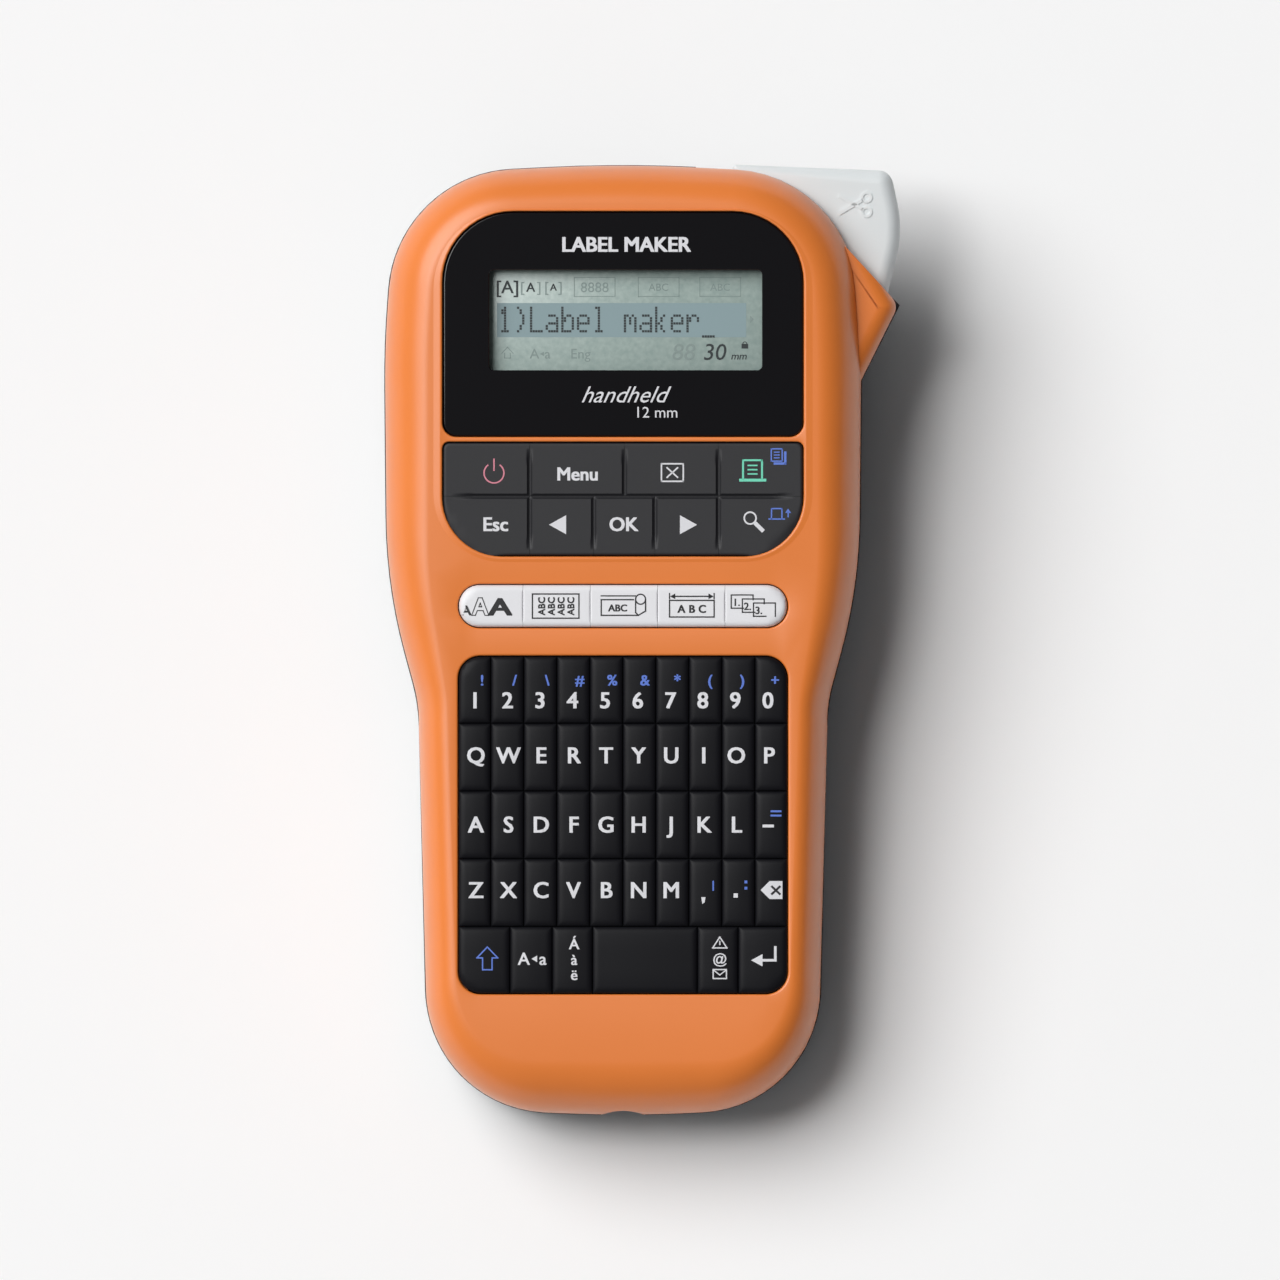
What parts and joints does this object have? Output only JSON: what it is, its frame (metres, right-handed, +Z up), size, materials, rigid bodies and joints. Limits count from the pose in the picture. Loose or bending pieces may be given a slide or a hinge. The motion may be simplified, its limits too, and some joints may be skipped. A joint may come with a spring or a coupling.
{
  "type": "label maker",
  "caption": "Hand-held label maker with a set-back display, rubber keyboard, corner cutter lever, tape cassette bay and a lift-off back cover over the cassette and dry cells",
  "frame": {"origin": "on the flat back, at the middle of the width and where the casing is 48.5 mm deep", "axes": "+Y towards the display end along the surface it lies on, +Z up out of that surface, +X to the right of the keys"},
  "size_m": [0.1092, 0.2046, 0.0594],
  "materials": {
    "orange_shell": "satin-gloss moulded ABS, orange",
    "charcoal_shell": "fine-textured charcoal ABS",
    "cover_charcoal": "fine-textured charcoal ABS",
    "screw_steel": "blackened steel",
    "window_black": "clear acrylic printed black behind, polished",
    "gasket_foam": "thin adhesive foam",
    "lcd_glass": "grey-green reflective display glass",
    "holder_plastic": "natural white moulding",
    "board_laminate": "green solder mask on laminate",
    "chip_epoxy": "moulded epoxy",
    "key_rubber": "matte silicone rubber with printed legends",
    "key_white": "matte white key caps with printed legends",
    "cable_film": "polyester film",
    "socket_plastic": "glass-filled nylon",
    "plate_steel": "zinc-plated steel",
    "motor_steel": "nickel-plated can",
    "gear_plastic": "acetal",
    "spring_steel": "spring wire and strip",
    "head_ceramic": "glazed ceramic on a steel post",
    "roller_rubber": "ground silicone rubber on a steel shaft",
    "blade_holder_plastic": "acetal",
    "cassette_plastic": "dark grey polystyrene",
    "tape_film": "wound laminated film",
    "cell_jacket": null,
    "contact_plate": "nickel-plated steel",
    "lever_white": "light grey-white matte ABS"
  },
  "bodies": {
    "case": {"front_shell": "orange_shell", "rear_shell": "charcoal_shell", "case_screws": "screw_steel", "display_window": "window_black", "window_gasket": "gasket_foam", "lcd_panel": "lcd_glass", "lcd_holder": "holder_plastic", "main_board": "board_laminate", "keypad_sheet": "key_rubber", "board_chips": "chip_epoxy", "head_cable": "cable_film", "dc_jack": "socket_plastic", "chassis_plate": "plate_steel", "feed_motor": "motor_steel", "arm_spring": "spring_steel", "print_head": "head_ceramic", "lever_pin": "plate_steel", "lever_spring": "spring_steel", "cutter_anvil": "plate_steel", "battery_springs": "spring_steel", "battery_contacts": "contact_plate"},
    "cover": {"back_cover": "cover_charcoal"},
    "cassette": {"cassette_base": "cassette_plastic", "cassette_lid": "cassette_plastic"},
    "tape": {"tape_roll": "tape_film"},
    "cells": {"batteries": "cell_jacket"},
    "arm": {"roller_arm": "holder_plastic"},
    "roller": {"platen_roller": "roller_rubber", "platen_gear": "gear_plastic"},
    "drive": {"drive_gear": "gear_plastic", "ribbon_spindle": "holder_plastic"},
    "reduction": {"reduction_gear": "gear_plastic"},
    "pinion": {"motor_gear": "gear_plastic"},
    "lever": {"cutter_lever": "lever_white"},
    "cutter": {"blade_holder": "blade_holder_plastic", "cutter_blade": "plate_steel"},
    "power_key_body": {"power_key": "key_rubber"},
    "menu_key_body": {"menu_key": "key_rubber"},
    "clear_key_body": {"clear_key": "key_rubber"},
    "print_key_body": {"print_key": "key_rubber"},
    "escape_key_body": {"escape_key": "key_rubber"},
    "left_key_body": {"left_key": "key_rubber"},
    "ok_key_body": {"ok_key": "key_rubber"},
    "right_key_body": {"right_key": "key_rubber"},
    "preview_key_body": {"preview_key": "key_rubber"},
    "font_key_body": {"font_key": "key_white"},
    "frame_key_body": {"frame_key": "key_white"},
    "cable_key_body": {"cable_key": "key_white"},
    "length_key_body": {"length_key": "key_white"},
    "number_key_body": {"number_key": "key_white"},
    "digit_keys_body": {"digit_keys": "key_rubber"},
    "upper_letter_keys_body": {"upper_letter_keys": "key_rubber"},
    "middle_letter_keys_body": {"middle_letter_keys": "key_rubber"},
    "lower_letter_keys_body": {"lower_letter_keys": "key_rubber"},
    "shift_key_body": {"shift_key": "key_rubber"},
    "case_key_body": {"case_key": "key_rubber"},
    "accent_key_body": {"accent_key": "key_rubber"},
    "space_key_body": {"space_key": "key_rubber"},
    "symbol_key_body": {"symbol_key": "key_rubber"},
    "enter_key_body": {"enter_key": "key_rubber"}
  },
  "joints": [
    {"name": "cover_lift", "type": "slide", "parent": "case", "child": "cover", "axis": [0, 0.1219, -0.9925], "range_m": [0, 0.07]},
    {"name": "cassette_lift", "type": "slide", "parent": "case", "child": "cassette", "axis": [0, 0.1219, -0.9925], "range_m": [0, 0.036]},
    {"name": "cells_lift", "type": "slide", "parent": "case", "child": "cells", "axis": [0, 0.1219, -0.9925], "range_m": [0, 0.029]},
    {"name": "arm_swing", "type": "hinge", "parent": "case", "child": "arm", "pos_m": [0.0295, 0.05207, 0.01899], "axis": [0, -0.1219, 0.9925], "range_deg": [-3.1, 0]},
    {"name": "roller_turn", "type": "hinge", "parent": "arm", "child": "roller", "pos_m": [0.0267, 0.07093, 0.0213], "axis": [0, -0.1219, 0.9925], "continuous": true},
    {"name": "drive_turn", "type": "hinge", "parent": "case", "child": "drive", "pos_m": [0.01267, 0.06094, 0.0362], "axis": [0, -0.1219, 0.9925], "continuous": true},
    {"name": "reduction_turn", "type": "hinge", "parent": "case", "child": "reduction", "pos_m": [0.02574, 0.03943, 0.03456], "axis": [0, -0.1219, 0.9925], "continuous": true},
    {"name": "motor_turn", "type": "hinge", "parent": "case", "child": "pinion", "pos_m": [0.0422, 0.03623, 0.03316], "axis": [0, -0.1219, 0.9925], "continuous": true},
    {"name": "tape_turn", "type": "hinge", "parent": "cassette", "child": "tape", "pos_m": [-0.005, 0.02912, 0.01718], "axis": [0, -0.1219, 0.9925], "continuous": true},
    {"name": "lever_squeeze", "type": "hinge", "parent": "case", "child": "lever", "pos_m": [0.0515, 0.06551, 0.03676], "axis": [0, -0.1219, 0.9925], "range_deg": [0, 11], "stiffness_Nm_per_rad": 1, "springref_deg": -5.73},
    {"name": "blade_slide", "type": "slide", "parent": "case", "child": "cutter", "axis": [-1, 0, 0], "range_m": [0, 0.004]},
    {"name": "power_key_press", "type": "slide", "parent": "case", "child": "power_key_body", "axis": [0, 0.1219, -0.9925], "range_m": [0, 0.001], "stiffness_N_per_m": 800},
    {"name": "menu_key_press", "type": "slide", "parent": "case", "child": "menu_key_body", "axis": [0, 0.1219, -0.9925], "range_m": [0, 0.001], "stiffness_N_per_m": 800},
    {"name": "clear_key_press", "type": "slide", "parent": "case", "child": "clear_key_body", "axis": [0, 0.1219, -0.9925], "range_m": [0, 0.001], "stiffness_N_per_m": 800},
    {"name": "print_key_press", "type": "slide", "parent": "case", "child": "print_key_body", "axis": [0, 0.1219, -0.9925], "range_m": [0, 0.001], "stiffness_N_per_m": 800},
    {"name": "escape_key_press", "type": "slide", "parent": "case", "child": "escape_key_body", "axis": [0, 0.1219, -0.9925], "range_m": [0, 0.001], "stiffness_N_per_m": 800},
    {"name": "left_key_press", "type": "slide", "parent": "case", "child": "left_key_body", "axis": [0, 0.1219, -0.9925], "range_m": [0, 0.001], "stiffness_N_per_m": 800},
    {"name": "ok_key_press", "type": "slide", "parent": "case", "child": "ok_key_body", "axis": [0, 0.1219, -0.9925], "range_m": [0, 0.001], "stiffness_N_per_m": 800},
    {"name": "right_key_press", "type": "slide", "parent": "case", "child": "right_key_body", "axis": [0, 0.1219, -0.9925], "range_m": [0, 0.001], "stiffness_N_per_m": 800},
    {"name": "preview_key_press", "type": "slide", "parent": "case", "child": "preview_key_body", "axis": [0, 0.1219, -0.9925], "range_m": [0, 0.001], "stiffness_N_per_m": 800},
    {"name": "font_key_press", "type": "slide", "parent": "case", "child": "font_key_body", "axis": [0, 0.1219, -0.9925], "range_m": [0, 0.001], "stiffness_N_per_m": 800},
    {"name": "frame_key_press", "type": "slide", "parent": "case", "child": "frame_key_body", "axis": [0, 0.1219, -0.9925], "range_m": [0, 0.001], "stiffness_N_per_m": 800},
    {"name": "cable_key_press", "type": "slide", "parent": "case", "child": "cable_key_body", "axis": [0, 0.1219, -0.9925], "range_m": [0, 0.001], "stiffness_N_per_m": 800},
    {"name": "length_key_press", "type": "slide", "parent": "case", "child": "length_key_body", "axis": [0, 0.1219, -0.9925], "range_m": [0, 0.001], "stiffness_N_per_m": 800},
    {"name": "number_key_press", "type": "slide", "parent": "case", "child": "number_key_body", "axis": [0, 0.1219, -0.9925], "range_m": [0, 0.001], "stiffness_N_per_m": 800},
    {"name": "digit_key_press", "type": "slide", "parent": "case", "child": "digit_keys_body", "axis": [0, 0.1219, -0.9925], "range_m": [0, 0.001], "stiffness_N_per_m": 800},
    {"name": "upper_letter_key_press", "type": "slide", "parent": "case", "child": "upper_letter_keys_body", "axis": [0, 0.1219, -0.9925], "range_m": [0, 0.001], "stiffness_N_per_m": 800},
    {"name": "middle_letter_key_press", "type": "slide", "parent": "case", "child": "middle_letter_keys_body", "axis": [0, 0.1219, -0.9925], "range_m": [0, 0.001], "stiffness_N_per_m": 800},
    {"name": "lower_letter_key_press", "type": "slide", "parent": "case", "child": "lower_letter_keys_body", "axis": [0, 0.1219, -0.9925], "range_m": [0, 0.001], "stiffness_N_per_m": 800},
    {"name": "shift_key_press", "type": "slide", "parent": "case", "child": "shift_key_body", "axis": [0, 0.1219, -0.9925], "range_m": [0, 0.001], "stiffness_N_per_m": 800},
    {"name": "case_key_press", "type": "slide", "parent": "case", "child": "case_key_body", "axis": [0, 0.1219, -0.9925], "range_m": [0, 0.001], "stiffness_N_per_m": 800},
    {"name": "accent_key_press", "type": "slide", "parent": "case", "child": "accent_key_body", "axis": [0, 0.1219, -0.9925], "range_m": [0, 0.001], "stiffness_N_per_m": 800},
    {"name": "space_key_press", "type": "slide", "parent": "case", "child": "space_key_body", "axis": [0, 0.1219, -0.9925], "range_m": [0, 0.001], "stiffness_N_per_m": 800},
    {"name": "symbol_key_press", "type": "slide", "parent": "case", "child": "symbol_key_body", "axis": [0, 0.1219, -0.9925], "range_m": [0, 0.001], "stiffness_N_per_m": 800},
    {"name": "enter_key_press", "type": "slide", "parent": "case", "child": "enter_key_body", "axis": [0, 0.1219, -0.9925], "range_m": [0, 0.001], "stiffness_N_per_m": 800}
  ],
  "couplings": [
    {"joint": "cassette_lift", "follows": "cover_lift", "ratio": 0.5},
    {"joint": "cells_lift", "follows": "cover_lift", "ratio": 0.4},
    {"joint": "arm_swing", "follows": "cover_lift", "rad_per_m": -0.748},
    {"joint": "motor_turn", "follows": "tape_turn", "ratio": 5.991},
    {"joint": "reduction_turn", "follows": "tape_turn", "ratio": -1.6339},
    {"joint": "drive_turn", "follows": "tape_turn", "ratio": 1.7973},
    {"joint": "roller_turn", "follows": "tape_turn", "ratio": -5.1351},
    {"joint": "blade_slide", "follows": "lever_squeeze", "m_per_rad": 0.019533}
  ]
}
